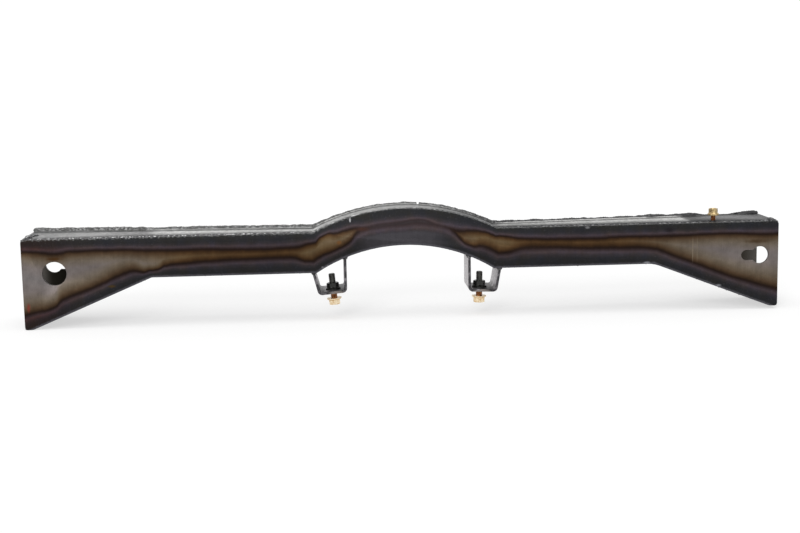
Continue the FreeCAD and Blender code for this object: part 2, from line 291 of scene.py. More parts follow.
# spots that stand out on the front plate: centre x and z, half width, half height, colour, softness
marks = [
    (-65.8, 122.8, 1.4, 3.4, tone(150, 150, 152), 0.5),       # a run of weld metal
    (-451.5, 27.5, 3.0, 8.0, tone(122, 52, 40), 0.9),         # a trace of red
    (-419.0, 85.0, 13.0, 3.4, tone(66, 42, 16), 0.9),         # amber above the round hole
    (430.0, 84.5, 22.0, 4.0, tone(68, 52, 34), 0.9),          # amber above the keyhole
    (-352.0, 50.5, 7.0, 2.6, tone(70, 54, 26), 0.9),          # a gold patch in the dark band
    (-52.0, 111.5, 13.0, 4.2, tone(54, 33, 26), 0.95),        # rust where the crown begins
    (-79.9, 96.0, 4.5, 3.6, tone(110, 74, 40), 0.95),         # and a lighter spot of it
    (-100.0, 66.6, 2.2, 1.4, tone(118, 116, 120), 0.8),       # specks over the left bracket
    (-94.0, 68.2, 1.6, 1.2, tone(118, 116, 120), 0.8),
    (221.5, 106.6, 4.0, 2.4, tone(112, 112, 114), 0.8),       # weld ground thin by the top edge
    (322.0, 101.0, 9.0, 5.0, tone(27, 23, 27), 0.95),         # a darker burn
    (294.5, 61.4, 6.0, 2.2, tone(136, 136, 142), 0.8),        # bright spots by the lower edge
    (383.0, 31.0, 5.0, 2.4, tone(126, 126, 132), 0.8),
    (351.0, 76.0, 0.9, 19.0, tone(126, 114, 98), 0.8),        # two faint upright lines
    (356.5, 76.0, 0.7, 19.0, tone(118, 107, 92), 0.8),
]


def greyOf(tree, value):
    node = addNode(tree, "CombineColor")
    for socket in node.inputs:
        feed(tree, socket, value)
    return node.outputs[0]


def shaded(tree, colour, *factors):
    # the colour multiplied by one or more grey factors
    total = factors[0]
    for factor in factors[1:]:
        total = calc(tree, "MULTIPLY", total, factor)
    return blendColours(tree, 1.0, colour, greyOf(tree, total), "MULTIPLY")


def ovalReach(tree, x, z, centreX, centreZ, halfWidth, halfHeight):
    # 0 at the centre of an oval spot, 1 at its rim
    across = calc(tree, "DIVIDE", calc(tree, "SUBTRACT", x, centreX), halfWidth)
    up = calc(tree, "DIVIDE", calc(tree, "SUBTRACT", z, centreZ), halfHeight)
    return lengthOf(tree, across, up)


def depthsAcross(tree, x, y):
    # how far a point lies behind the front face and in front of the rear face
    beyond = calc(tree, "SUBTRACT", calc(tree, "ABSOLUTE", x), bar["archHalfSpan"])
    away = calc(tree, "MAXIMUM", beyond, 0.0)
    rearFace = calc(tree, "MULTIPLY_ADD", away, bar["splay"], bar["front"] + bar["middleDepth"])
    return calc(tree, "SUBTRACT", y, bar["front"]), calc(tree, "SUBTRACT", rearFace, y)


def withPaintedInsideShade(tree, x, first, second, outside):
    # painted shade: faces that look into the box are dark, a little less so behind the keyhole and in
    # the open ends, where light gets in
    wall = bar["thickness"]
    near = between(tree, first, wall - 0.4, wall - 0.1)
    far = between(tree, second, wall - 0.4, wall - 0.1)
    right = between(tree, x, *tint["behindKeyhole"])
    shadeTone = blendColours(tree, right, tint["inside"], tint["shadeBehindKeyhole"])
    end = between(tree, calc(tree, "ABSOLUTE", x), *tint["openEnd"])
    shadeTone = blendColours(tree, end, shadeTone, tint["shadeInOpenEnds"])
    return blendColours(tree, calc(tree, "MULTIPLY", near, far), outside, shadeTone)


def heatTintedPlate(name, turned):
    # turned: the same pattern end for end, as the rear plate is
    material, tree, shader = newMaterial(name, metallic=0.5, specular=0.14)
    place, x, y, z = millimetres(tree)
    fromTop, fromBottom = outlineDepths(tree, x, z)
    along = calc(tree, "MULTIPLY", x, -1.0) if turned else x
    wander = sway(tree, place, tint["wanderSize"], tint["wander"], 2.0)
    frayed = sway(tree, place, tint["fraySize"], tint["fray"], 3.0, 0.6)
    shift = calc(tree, "ADD", wander, frayed)
    shares = []
    for depth, stations in ((fromTop, tint["topLine"]), (fromBottom, tint["bottomLine"])):
        line = alongBar(tree, along, stations, tint["deepest"])
        moved = calc(tree, "MULTIPLY_ADD", shift, between(tree, depth, 3, 9), depth)
        shares.append(calc(tree, "DIVIDE", moved, line))
    share = calc(tree, "SMOOTH_MIN", shares[0], shares[1], 0.1)
    colour = rampOf(tree, share, tint["bands"], tint["reach"])
    hue = rampOf(tree, noiseOf(tree, place, 17, 3.0, 0.6), [tint["bluish"], tint["brownish"]])
    dark = fading(tree, share, 0.7, 1.0)
    colour = blendColours(tree, dark, colour, hue, "MULTIPLY")
    warmEnd = calc(tree, "MULTIPLY", fading(tree, along, *tint["warmEnd"]), dark)
    colour = blendColours(tree, warmEnd, colour, tint["warm"], "MULTIPLY")
    out = calc(tree, "ABSOLUTE", x)
    goldenFrom = between(tree, out, *tint["goldenFrom"])
    straight = calc(tree, "MULTIPLY", goldenFrom, fading(tree, out, *tint["goldenTo"]))
    golden = calc(tree, "MULTIPLY", straight, between(tree, share, 1.0, 1.12))
    colour = blendColours(tree, golden, colour, tint["golden"], "MULTIPLY")

    enter = between(tree, along, *tint["crownFrom"])
    leave = fading(tree, along, *tint["crownTo"])
    lower = fading(tree, shares[1], 0.5, 0.66)
    crown = calc(tree, "MULTIPLY", enter, leave)
    dulled = calc(tree, "MULTIPLY", crown, between(tree, share, 0.84, 1.0, 0.0, 0.75))
    colour = blendColours(tree, dulled, colour, tint["crownMiddle"])
    colour = blendColours(tree, calc(tree, "MULTIPLY", crown, lower), colour, tint["crownLower"])

    # the ground lower edge, chips along the top, specks in the dark bands, and the front plate's spots
    ragged = sway(tree, place, 3, 3.0, 4.0, 0.7)
    edge = fading(tree, calc(tree, "ADD", fromBottom, ragged), 1.0, 3.4)
    colour = blendColours(tree, edge, colour, tint["bottomEdge"])
    chips = between(tree, noiseOf(tree, place, 2.4, 3.0, 0.65), 0.5, 0.58)
    byTop = fading(tree, calc(tree, "ADD", fromTop, ragged), 0.0, 2.0)
    onLeft = between(tree, x, *tint["chipsOnLeft"], 0.8, 0.2)
    chipped = calc(tree, "MULTIPLY", calc(tree, "MULTIPLY", chips, byTop), onLeft)
    colour = blendColours(tree, chipped, colour, tint["topEdge"])
    specks = between(tree, noiseOf(tree, place, 1.7, 3.0, 0.6), 0.6, 0.68, 0.0, 0.3)
    colour = blendColours(tree, calc(tree, "MULTIPLY", specks, dark), colour, tint["bottomEdge"])
    if not turned:
        for *oval, spotTone, softness in marks:
            reach = calc(tree, "MULTIPLY_ADD", frayed, 0.3, ovalReach(tree, x, z, *oval))
            spot = between(tree, reach, 1 - softness, 1.0, 0.9, 0.0)
            colour = blendColours(tree, spot, colour, spotTone)

    # rolled grain, cloudy patches and faint upright rub marks
    cloud = between(tree, noiseOf(tree, place, 12, 4.0, 0.62), 0.25, 0.75, 0.86, 1.14)
    grain = between(tree, noiseOf(tree, place, 0.9, 2.0), 0.2, 0.8, 0.9, 1.1)
    rub = between(tree, noiseOf(tree, place, 2.2, 3.0, 0.6, (1, 1, 30)), 0.3, 0.7, 0.95, 1.05)
    colour = shaded(tree, colour, cloud, grain, rub)
    # painted shade on the faces inside the box
    colour = withPaintedInsideShade(tree, x, *depthsAcross(tree, x, y), colour)
    feed(tree, shader.inputs["Base Color"], colour)
    satin = between(tree, share, 0.2, 1.6, 0.52, 0.42)
    feed(tree, shader.inputs["Roughness"], calc(tree, "MULTIPLY", satin, cloud))
    height = calc(tree, "ADD", noiseOf(tree, place, 1.1, 3.0), noiseOf(tree, place, 9, 2.0))
    bumpOn(tree, shader, height, 0.06)
    return material


# top and bottom strips

strip = {
    # how strong the painted sheen on the satin middle is along the bar, and how wide the dull band by
    # the front weld
    "paintedSheen": [(-457, 0.3), (-425, 0.36), (-400, 0.46), (-340, 0.36), (-318, 0.28), (-300, 0.9),
              (-240, 0.97), (-120, 0.88), (-92, 0.6), (-40, 0.5), (35, 0.46), (62, 0.22),
              (80, 0.14), (100, 0.12), (124, 0.78), (180, 0.96), (290, 1.0), (350, 0.9),
              (360, 0.2), (400, 0.14), (430, 0.12), (447, 0.03), (457, 0.0)],
    "frontBand": [(-457, 26), (-420, 30), (-330, 36), (-280, 40), (-120, 34), (-90, 18),
                  (100, 24), (140, 50), (345, 50), (457, 26)],
    "widest": 50.0,
    # painted shade along the bar: on the right slope of the arch, and darker beyond a sharp border
    # towards the right end
    "shade": [(-457, 1.0), (20, 1.0), (56, 0.5), (100, 0.56), (116, 0.74), (130, 1.0), (349, 1.0),
              (358, 0.3), (372, 0.36), (386, 0.6), (402, 0.72), (420, 0.84), (436, 0.78), (448, 0.5),
              (457, 0.45)],
    # the satin middle: ground steel lightened with painted sheen
    "satin": tone(208, 208, 206),
    "dull": tone(64, 63, 66),
    "frontLeft": tone(58, 57, 59),
    "frontRight": tone(20, 19, 23),
    # where the skin along the front turns from its left tone to its right one
    "turning": (-60, 160),
    "rearTone": tone(70, 71, 71),
    "under": tone(84, 83, 83),
    "fleck": tone(246, 246, 246),
    "flecksOnLeft": (-120, 90),
    "roughness": 0.46,
    "dullRoughness": 0.8,
}


def stripSteel(name, upper):
    material, tree, shader = newMaterial(name, metallic=0.65, specular=0.3)
    place, x, y, z = millimetres(tree)
    fromFront, fromRear = depthsAcross(tree, x, y)
    fromTop, fromBottom = outlineDepths(tree, x, z)
    ragged = sway(tree, place, 7, 9.0, 4.0, 0.65)
    rearBand = between(tree, calc(tree, "ADD", fromRear, ragged), 7, 24)
    if upper:
        width = alongBar(tree, x, strip["frontBand"], strip["widest"])
        frontShare = calc(tree, "DIVIDE", calc(tree, "ADD", fromFront, ragged), width)
        frontBand = between(tree, frontShare, 0.2, 1.15)
        # painted sheen on the satin middle, stronger or weaker along the bar
        paintedSheen = alongBar(tree, x, strip["paintedSheen"], 1.0)
        patches = between(tree, noiseOf(tree, place, 30, 3.0, 0.5, (1, 1.6, 1)), 0.3, 0.7, 0.82, 1.1)
        sheenShare = calc(tree, "MULTIPLY", paintedSheen, patches)
        satin = blendColours(tree, sheenShare, strip["dull"], strip["satin"])
        right = between(tree, x, *strip["turning"])
        front = blendColours(tree, right, strip["frontLeft"], strip["frontRight"])
        edges = blendColours(tree, frontBand, front, strip["rearTone"])
        colour = blendColours(tree, calc(tree, "MULTIPLY", frontBand, rearBand), edges, satin)
        # painted shade along the bar
        colour = shaded(tree, colour, alongBar(tree, x, strip["shade"], 1.0))
    else:
        frontBand = between(tree, calc(tree, "ADD", fromFront, ragged), 5, 16)
        middle = calc(tree, "MULTIPLY", frontBand, rearBand)
        colour = blendColours(tree, middle, strip["dull"], strip["under"])
    flecks = between(tree, noiseOf(tree, place, 3.2, 3.0, 0.62, (1, 2.4, 1)), 0.52, 0.6)
    nearWeld = between(tree, fromFront, 8, 18, 1.0, 0.08)
    onLeft = between(tree, x, *strip["flecksOnLeft"], 1.0, 0.35)
    flecked = calc(tree, "MULTIPLY", calc(tree, "MULTIPLY", flecks, nearWeld), onLeft)
    colour = blendColours(tree, flecked, colour, strip["fleck"])
    lengthwise = between(tree, noiseOf(tree, place, 1.0, 4.0, 0.6, (40, 1, 1)), 0.3, 0.7, 0.9, 1.08)
    cloud = between(tree, noiseOf(tree, place, 16, 4.0, 0.6), 0.3, 0.7, 0.84, 1.1)
    mottle = between(tree, noiseOf(tree, place, 4.2, 4.0, 0.66, (1, 1.8, 1)), 0.32, 0.68, 0.72, 1.24)
    colour = shaded(tree, colour, lengthwise, cloud, mottle)
    # painted shade on the faces inside the box
    colour = withPaintedInsideShade(tree, x, fromTop, fromBottom, colour)
    feed(tree, shader.inputs["Base Color"], colour)
    if upper:
        # duller in the band by the front weld
        smoother = strip["roughness"] - strip["dullRoughness"]
        rough = calc(tree, "MULTIPLY_ADD", frontBand, smoother, strip["dullRoughness"])
        feed(tree, shader.inputs["Roughness"], rough)
    else:
        shader.inputs["Roughness"].default_value = strip["roughness"]
    bumpOn(tree, shader, noiseOf(tree, place, 0.8, 3.0, 0.5, (14, 1, 1)), 0.05)
    return material


# weld metal

def weldMetal(name, dark, light, spotSize, spotShare, alongShares=None, leftDark=None):
    # dark skin with lighter spots, fewer of them where the shares along the bar are low
    # leftDark: the skin of the left half, for a bead whose root is ground along with the strip and
    # shares its painted sheen
    material, tree, shader = newMaterial(name, metallic=0.6, specular=0.35)
    place, x, y, z = millimetres(tree)
    spots = between(tree, noiseOf(tree, place, spotSize, 4.0, 0.7), spotShare, spotShare + 0.14)
    large = between(tree, noiseOf(tree, place, 15, 2.0), 0.35, 0.62, 0.35, 1.0)
    mask = calc(tree, "MULTIPLY", spots, large)
    if alongShares:
        mask = calc(tree, "MULTIPLY", mask, alongBar(tree, x, alongShares, 1.0))
    skin = dark
    if leftDark:
        skin = blendColours(tree, between(tree, x, *strip["turning"]), leftDark, dark)
        fromTop = outlineDepths(tree, x, z)[0]
        root = between(tree, fromTop, -1.7, -0.6, 0.0, 0.85)
        # the ground root takes the strip's satin tone with its painted sheen
        ground = calc(tree, "MULTIPLY", root, alongBar(tree, x, strip["paintedSheen"], 1.0))
        skin = blendColours(tree, ground, skin, strip["satin"])
    feed(tree, shader.inputs["Base Color"], blendColours(tree, mask, skin, light))
    feed(tree, shader.inputs["Roughness"], calc(tree, "MULTIPLY_ADD", spots, -0.14, 0.56))
    bumpOn(tree, shader, noiseOf(tree, place, 1.5, 4.0, 0.65), 0.35, 0.8)
    return material


# brackets and fasteners

# darker patches on the brackets, beside the nuts: centre x and z, half width, half height
darkPatches = [(-75.0, 37.0, 9.0, 7.0), (-104.0, 38.0, 8.0, 9.0), (101.0, 35.0, 10.0, 7.0),
            (-87.5, 37.5, 13.0, 5.0), (91.0, 35.0, 13.0, 5.0)]
# the sawn edges are lighter under the bolts: rubbed bright, with a painted reflection of the yellow
# bolts
rubAndReflection = [(-83.0, 33.6, 11.0, 3.4), (92.0, 31.2, 11.0, 3.4)]

clamp = {
    "face": [(0.3, tone(146, 142, 144)), (0.5, tone(200, 196, 198)), (0.66, tone(230, 227, 229))],
    "sawn": [(0.34, tone(34, 34, 36)), (0.52, tone(66, 64, 67)), (0.68, tone(134, 130, 134))],
    "darkPatchTone": tone(26, 25, 25),
    "rubAndReflection": tone(140, 132, 126),
    # the edge's colour ends this far inside the flat bar
    "edgeFrom": 0.3,
    "edgeTo": 0.7,
    "edgeAngle": 40,
    "edgeRadius": 0.35,
    "edgeSegments": 2,
}


def bracketSteel():
    # ground wide faces, dark sawn edges front and back
    material, tree, shader = newMaterial("bracketSteel", metallic=0.6, specular=0.35)
    place, x, y, z = millimetres(tree)
    scratches = noiseOf(tree, place, 0.7, 4.0, 0.65, (1, 14, 1))
    patch = noiseOf(tree, place, 7, 4.0, 0.62)
    mix = calc(tree, "MULTIPLY_ADD", scratches, 0.45, calc(tree, "MULTIPLY", patch, 0.55))
    face = rampOf(tree, mix, clamp["face"])
    for oval in darkPatches:
        ragged = calc(tree, "MULTIPLY_ADD", patch, 1.2, ovalReach(tree, x, z, *oval))
        face = blendColours(tree, between(tree, ragged, 1.1, 1.7, 0.85, 0.0), face, clamp["darkPatchTone"])
    sawn = rampOf(tree, patch, clamp["sawn"])
    # lighter sawn edges under the bolts: rubbed bright, with a painted reflection of the bolts
    for oval in rubAndReflection:
        ragged = calc(tree, "MULTIPLY_ADD", patch, 0.8, ovalReach(tree, x, z, *oval))
        sawn = blendColours(tree, between(tree, ragged, 0.9, 1.5, 0.8, 0.0), sawn, clamp["rubAndReflection"])
    low, high = [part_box("left_bracket")[corner].y / mm for corner in (0, 1)]
    frontEdge = fading(tree, y, low + clamp["edgeFrom"], low + clamp["edgeTo"])
    rearEdge = between(tree, y, high - clamp["edgeTo"], high - clamp["edgeFrom"])
    edge = calc(tree, "MAXIMUM", frontEdge, rearEdge)
    feed(tree, shader.inputs["Base Color"], blendColours(tree, edge, face, sawn))
    feed(tree, shader.inputs["Roughness"], between(tree, patch, 0.3, 0.7, 0.4, 0.54))
    bumpOn(tree, shader, scratches, 0.04)
    return material


def platedMetal(name, low, high, roughness, metallic):
    # thin plating that turns colour a little from spot to spot
    material, tree, shader = newMaterial(name, roughness=roughness, metallic=metallic)
    place = millimetres(tree)[0]
    drift = noiseOf(tree, place, 3.2, 3.0, 0.6)
    fine = noiseOf(tree, place, 0.6, 2.0)
    mix = calc(tree, "MULTIPLY_ADD", fine, 0.25, calc(tree, "MULTIPLY", drift, 0.75))
    feed(tree, shader.inputs["Base Color"], rampOf(tree, mix, [(0.32, low), (0.64, high)]))
    bumpOn(tree, shader, fine, 0.02)
    return material


frontTint = heatTintedPlate("frontHeatTint", False)
rearTint = heatTintedPlate("rearHeatTint", True)
topSteel = stripSteel("topStripSteel", True)
underSteel = stripSteel("bottomStripSteel", False)
groundWeld = weldMetal("groundWeld", tone(58, 58, 60), tone(222, 222, 222), 2.4, 0.5,
                       [(-457, 1.0), (-280, 0.9), (-100, 0.9), (0, 0.7), (90, 0.4), (457, 0.3)])
flushWeld = weldMetal("flushBottomWeld", tone(50, 50, 53), tone(104, 104, 108), 2.4, 0.5)
laidWeld = weldMetal("laidWeld", tone(54, 54, 55), tone(142, 142, 142), 2.8, 0.44,
                     [(-457, 1.0), (-320, 0.9), (-120, 0.7), (60, 0.8), (120, 0.4), (300, 0.2),
                      (457, 0.12)],
                     tone(70, 70, 69))
bracketWeld = weldMetal("bracketWeld", tone(52, 52, 53), tone(142, 142, 142), 2.8, 0.44)
clampSteel = bracketSteel()
yellowZinc = platedMetal("yellowZinc", tone(204, 166, 116), tone(248, 234, 204), 0.26, 0.92)
bronzeZinc = platedMetal("bronzeZinc", tone(84, 60, 32), tone(222, 198, 148), 0.22, 0.92)
# yellow zinc darkened as painted shade, for the thread in the shadow beside the head
zincInPaintedShade = platedMetal("zincInPaintedShade", tone(74, 40, 22), tone(176, 118, 70), 0.36, 0.8)
blackOxide = platedMetal("blackOxide", tone(13, 13, 12), tone(36, 37, 34), 0.34, 0.25)
# the stud end: the black finish lightened as a painted highlight
studPaintedHighlight = platedMetal("studPaintedHighlight", tone(46, 46, 44), tone(92, 92, 88), 0.3, 0.6)
print("materials ready:", len(bpy.data.materials))


# mesh helpers

def copyOfNode(node):
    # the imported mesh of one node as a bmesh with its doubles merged
    mesh = bmesh.new()
    mesh.from_mesh(nodes[node].data)
    bmesh.ops.remove_doubles(mesh, verts=mesh.verts, dist=1e-6)
    return mesh


def finishPiece(mesh, name, materials, replaced=None, smoothAngle=32):
    data = bpy.data.meshes.new(name)
    mesh.to_mesh(data)
    mesh.free()
    for material in materials:
        data.materials.append(material)
    data.shade_smooth()
    data.set_sharp_from_angle(angle=math.radians(smoothAngle))
    piece = bpy.data.objects.new(name, data)
    bpy.context.scene.collection.objects.link(piece)
    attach(piece, "root")
    if replaced:
        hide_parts(replaced)
    return piece


def flatten(mesh, angle=0.6):
    # flat areas become single faces again
    bmesh.ops.dissolve_limit(mesh, angle_limit=math.radians(angle), verts=mesh.verts, edges=mesh.edges,
                             use_dissolve_boundaries=False)


def roundEdges(mesh, edges, width, segments):
    bmesh.ops.bevel(mesh, geom=edges, offset=width * mm, offset_type="OFFSET", segments=segments,
                    profile=0.5, affect="EDGES", material=-1, clamp_overlap=True)


def rearFaceAt(x):
    # y of the rear plate's outer face, in metres
    beyond = max(abs(x) / mm - bar["archHalfSpan"], 0.0)
    return (bar["front"] + bar["middleDepth"] + bar["splay"] * beyond) * mm


def topSurfaceAt(x):
    # z of the bar's top, in millimetres like x
    if abs(x) > bar["archHalfSpan"]:
        return bar["top"]
    return bar["archCentre"] + math.sqrt(bar["archRadius"] ** 2 - x * x)


def creased(mesh, angle=20):
    limit = math.radians(angle)
    return [edge for edge in mesh.edges if len(edge.link_faces) == 2 and edge.calc_face_angle() > limit]


# plates with their ground outer edges

plateEdge = {"radius": 0.8, "segments": 2, "near": 0.15}


def buildPlate(node, material, onOuterFace):
    mesh = copyOfNode(node)
    flatten(mesh)
    edges = [edge for edge in creased(mesh) if all(onOuterFace(vert.co) for vert in edge.verts)]
    roundEdges(mesh, edges, plateEdge["radius"], plateEdge["segments"])
    return finishPiece(mesh, node + "_ground", [material], node)


buildPlate("front_plate", frontTint, lambda co: abs(co.y / mm - bar["front"]) < plateEdge["near"])
buildPlate("rear_plate", rearTint, lambda co: abs(co.y - rearFaceAt(co.x)) < plateEdge["near"] * mm)
print("plates ready")

plainFinish = {
    "left_top_strip": topSteel,
    "right_top_strip": topSteel,
    "top_seam_weld": topSteel,
    "left_bottom_strip": underSteel,
    "right_bottom_strip": underSteel,
    "bottom_seam_weld": underSteel,
    "front_top_weld": groundWeld,
    "front_bottom_weld": flushWeld,
    "rear_bottom_weld": flushWeld,
    "clip_weld_nut": clampSteel,
}
for node, material in plainFinish.items():
    nodes[node].data.materials.clear()
    nodes[node].data.materials.append(material)


# weld beads left as they were laid

bead = {
    "pitch": 1.5,
    "ripple": 2.9,
    "height": 0.5,
    "lump": 0.9,
    "lumpSize": 6.0,
    "driftSize": 11,
    "drift": 1.6,
    "valley": 0.8,
    # the brackets' beads are flatter, and the rear bead's root in the groove stays as it is
    "bracketShare": 0.5,
    "underCut": 1.1,
    "root": 0.6,
    # how much the bead stands above or below its usual height along the bar
    "swell": [(-460, 1.4), (-340, 1.2), (-314, 0.1), (-250, 1.0), (-115, 0.7), (-100, -0.2),
              (-60, -0.8), (80, -0.6), (112, 0.1), (163, -0.4), (290, -0.8), (306, -0.4), (316, 1.2),
              (328, -0.2), (346, -0.2), (361, 0.8), (372, 0.3), (386, -1.4), (402, -3.2), (414, -3.0),
              (425, -1.6), (434, -0.3), (442, 0.5), (450, 0.7), (460, 0.2)],
}


def sliced(mesh, pitch, axis):
    # cuts across the mesh at an even pitch along x or y
    low = min(vert.co[axis] for vert in mesh.verts)
    high = max(vert.co[axis] for vert in mesh.verts)
    normal = Vector([1.0 if part == axis else 0.0 for part in range(3)])
    count = int((high - low) / (pitch * mm))
    for step in range(1, count):
        cut = normal * (low + (high - low) * step / count)
        bmesh.ops.bisect_plane(mesh, geom=mesh.verts[:] + mesh.edges[:] + mesh.faces[:], dist=1e-7,
                               plane_co=cut, plane_no=normal)


def swellAt(x):
    for (left, low), (right, high) in zip(bead["swell"], bead["swell"][1:]):
        if left <= x <= right:
            return low + (high - low) * (x - left) / (right - left)
    return 0.0


def buildBead(node, axis, material, raised=None):
    # rippled across its run, with slow lumps; raised says which points may move
    mesh = copyOfNode(node)
    sliced(mesh, bead["pitch"], axis)
    bmesh.ops.triangulate(mesh, faces=[face for face in mesh.faces if len(face.verts) > 4])
    mesh.normal_update()
    for vert in mesh.verts:
        if raised and not raised(vert.co):
            continue
        along = vert.co[axis] / mm
        drift = noise.noise(vert.co / (bead["driftSize"] * mm)) * bead["drift"]
        wave = abs(math.sin(math.pi * (along + drift) / bead["ripple"]))
        lump = noise.noise(vert.co / (bead["lumpSize"] * mm))
        rise = bead["height"] * (wave - bead["valley"]) + bead["lump"] * lump
        if axis == 0:
            rise += swellAt(vert.co.x / mm)
        else:
            rise = rise * bead["bracketShare"] - bead["underCut"]
        vert.co += vert.normal * rise * mm
        if axis == 0:
            vert.co.y = min(vert.co.y, rearFaceAt(vert.co.x))
    return finishPiece(mesh, node + "_laid", [material], node, 60)


def aboveBar(co):
    return co.z / mm > topSurfaceAt(co.x / mm) + bead["root"]


for node in ("rear_top_weld_left", "rear_top_weld_right"):
    buildBead(node, 0, laidWeld, aboveBar)
for node in ("left_bracket_welds", "right_bracket_welds"):
    buildBead(node, 1, bracketWeld)
print("beads ready")


# brackets with softened edges

def buildBracket(node):
    mesh = copyOfNode(node)
    flatten(mesh)
    roundEdges(mesh, creased(mesh, clamp["edgeAngle"]), clamp["edgeRadius"], clamp["edgeSegments"])
    return finishPiece(mesh, node + "_folded", [clampSteel], node)


buildBracket("left_bracket")
buildBracket("right_bracket")


# threaded fasteners

bigBolt = {"radius": 4.0, "pitch": 1.25, "length": 30.0, "gap": 7.5, "hex": 13.0, "head": 8.1,
           "flange": 8.95, "rim": 1.2, "cone": 1.8, "tip": 0.9, "plate": 3.2, "dish": 0.5, "turn": 0}
bigNut = {"hex": 13.0, "head": 8.0, "flange": 8.95, "rim": 1.2, "cone": 1.8, "dish": 0.3, "turn": 30}
clipScrew = {"radius": 3.0, "pitch": 1.0, "length": 20.0, "gap": 6.1, "hex": 10.0, "head": 8.5,
             "flange": 7.0, "rim": 1.7, "cone": 2.1, "tip": 0.9, "dish": 0.6, "turn": 30}
hexHead = {"ringSteps": 72, "chamfer": math.radians(30), "coneSteps": 6, "chamferSteps": 5,
           "seatChamfer": 0.15, "rimShare": 0.86, "dishShare": 0.76}
# depth of a thread and the borders of its crest and root, as shares of the pitch
thread = {"depth": 0.38, "crestEnd": 0.36, "rootStart": 0.58, "rootEnd": 0.74,
          "turns": 36, "above": 0.3}


def addHead(mesh, size):
    # flange and hexagon in one stack of rings, from the seat at z = 0 up
    hexHalf = size["hex"] / 2

    def hexRadius(angle):
        turned = angle + math.radians(size["turn"])
        fromFlat = (turned + math.pi / 6) % (math.pi / 3) - math.pi / 6
        return hexHalf / math.cos(fromFlat)

    def radiusAt(angle, height):
        shoulder = hexHalf + (size["head"] - height) / math.tan(hexHead["chamfer"])
        prism = min(hexRadius(angle), shoulder)
        if height <= size["rim"]:
            return size["flange"]
        fall = (height - size["rim"]) / size["cone"]
        return max(prism, size["flange"] - (size["flange"] - hexHalf) * fall)

    corner = hexHalf / math.cos(math.pi / 6)
    chamfer = (corner - hexHalf) * math.tan(hexHead["chamfer"])
    coneTop = size["rim"] + size["cone"]
    coneSteps, chamferSteps = hexHead["coneSteps"], hexHead["chamferSteps"]
    levels = [0.0, size["rim"]]
    levels += [size["rim"] + size["cone"] * step / coneSteps for step in range(1, coneSteps + 1)]
    levels += [(coneTop + size["head"]) / 2]
    levels += [size["head"] - chamfer * step / chamferSteps for step in range(chamferSteps, -1, -1)]
    made = bmesh.ops.create_circle(mesh, cap_ends=True, segments=hexHead["ringSteps"],
                                   radius=size["flange"] - hexHead["seatChamfer"])
    ring = [edge for edge in mesh.edges if edge.link_faces and edge.verts[0] in made["verts"]]
    for level, height in enumerate(levels):
        grown = bmesh.ops.extrude_edge_only(mesh, edges=ring)["geom"]
        ring = [item for item in grown if isinstance(item, bmesh.types.BMEdge)]
        for vert in [item for item in grown if isinstance(item, bmesh.types.BMVert)]:
            angle = math.atan2(vert.co.y, vert.co.x)
            radius = radiusAt(angle, height)
            lift = hexHead["seatChamfer"] if level == 0 else 0.0
            vert.co = Vector((math.cos(angle) * radius, math.sin(angle) * radius, height + lift))
    rim, dish = hexHead["rimShare"], hexHead["dishShare"]
    for share, sink in ((rim, 0.0), (dish, size["dish"]), (0.0, size["dish"])):
        grown = bmesh.ops.extrude_edge_only(mesh, edges=ring)["geom"]
        ring = [item for item in grown if isinstance(item, bmesh.types.BMEdge)]
        for vert in [item for item in grown if isinstance(item, bmesh.types.BMVert)]:
            angle = math.atan2(vert.co.y, vert.co.x)
            reach = hexHalf * share
            vert.co = Vector((math.cos(angle) * reach, math.sin(angle) * reach, size["head"] - sink))
    bmesh.ops.remove_doubles(mesh, verts=mesh.verts, dist=1e-5)


def addShank(mesh, size):
    # a screw thread spun below the seat, trimmed at both ends and turned down at its tip
    pitch = size["pitch"]
    turns = thread["turns"]
    crest = size["radius"]
    root = crest - thread["depth"] * pitch
    profile = ((0.0, crest), (thread["crestEnd"], crest), (thread["rootStart"], root),
               (thread["rootEnd"], root), (1.0, crest))
    rows = int(size["length"] / pitch) + 3
    start = -size["length"] - 2 * pitch
    verts = [mesh.verts.new((radius, 0, start + share * pitch)) for share, radius in profile]
    edges = [mesh.edges.new(pair) for pair in zip(verts, verts[1:])]
    bmesh.ops.spin(mesh, geom=verts + edges, cent=(0, 0, 0), axis=(0, 0, 1), dvec=(0, 0, pitch / turns),
                   angle=2 * math.pi * rows, steps=turns * rows, use_merge=False)
    bmesh.ops.remove_doubles(mesh, verts=mesh.verts, dist=1e-4)
    for height, normal in ((-size["length"], (0, 0, -1)), (thread["above"], (0, 0, 1))):
        bmesh.ops.bisect_plane(mesh, geom=mesh.verts[:] + mesh.edges[:] + mesh.faces[:], dist=1e-6,
                               plane_co=(0, 0, height), plane_no=normal, clear_outer=True)
    for vert in mesh.verts:
        widest = size["radius"] - size["tip"] + vert.co.z + size["length"]
        radius = math.hypot(vert.co.x, vert.co.y)
        if radius > widest:
            vert.co.x *= widest / radius
            vert.co.y *= widest / radius
    rims = [edge for edge in mesh.edges if edge.is_boundary]
    bmesh.ops.holes_fill(mesh, edges=rims, sides=0)
    bmesh.ops.recalc_face_normals(mesh, faces=mesh.faces)


def joined(first, second):
    # second's geometry added to first through a scratch mesh
    scratch = bpy.data.meshes.new("scratch")
    second.to_mesh(scratch)
    second.free()
    first.from_mesh(scratch)
    bpy.data.meshes.remove(scratch)
    return first


def fastener(size, threaded):
    head = bmesh.new()
    addHead(head, size)
    bmesh.ops.recalc_face_normals(head, faces=head.faces)
    if not threaded:
        return head
    shank = bmesh.new()
    addShank(shank, size)
    return joined(head, shank)


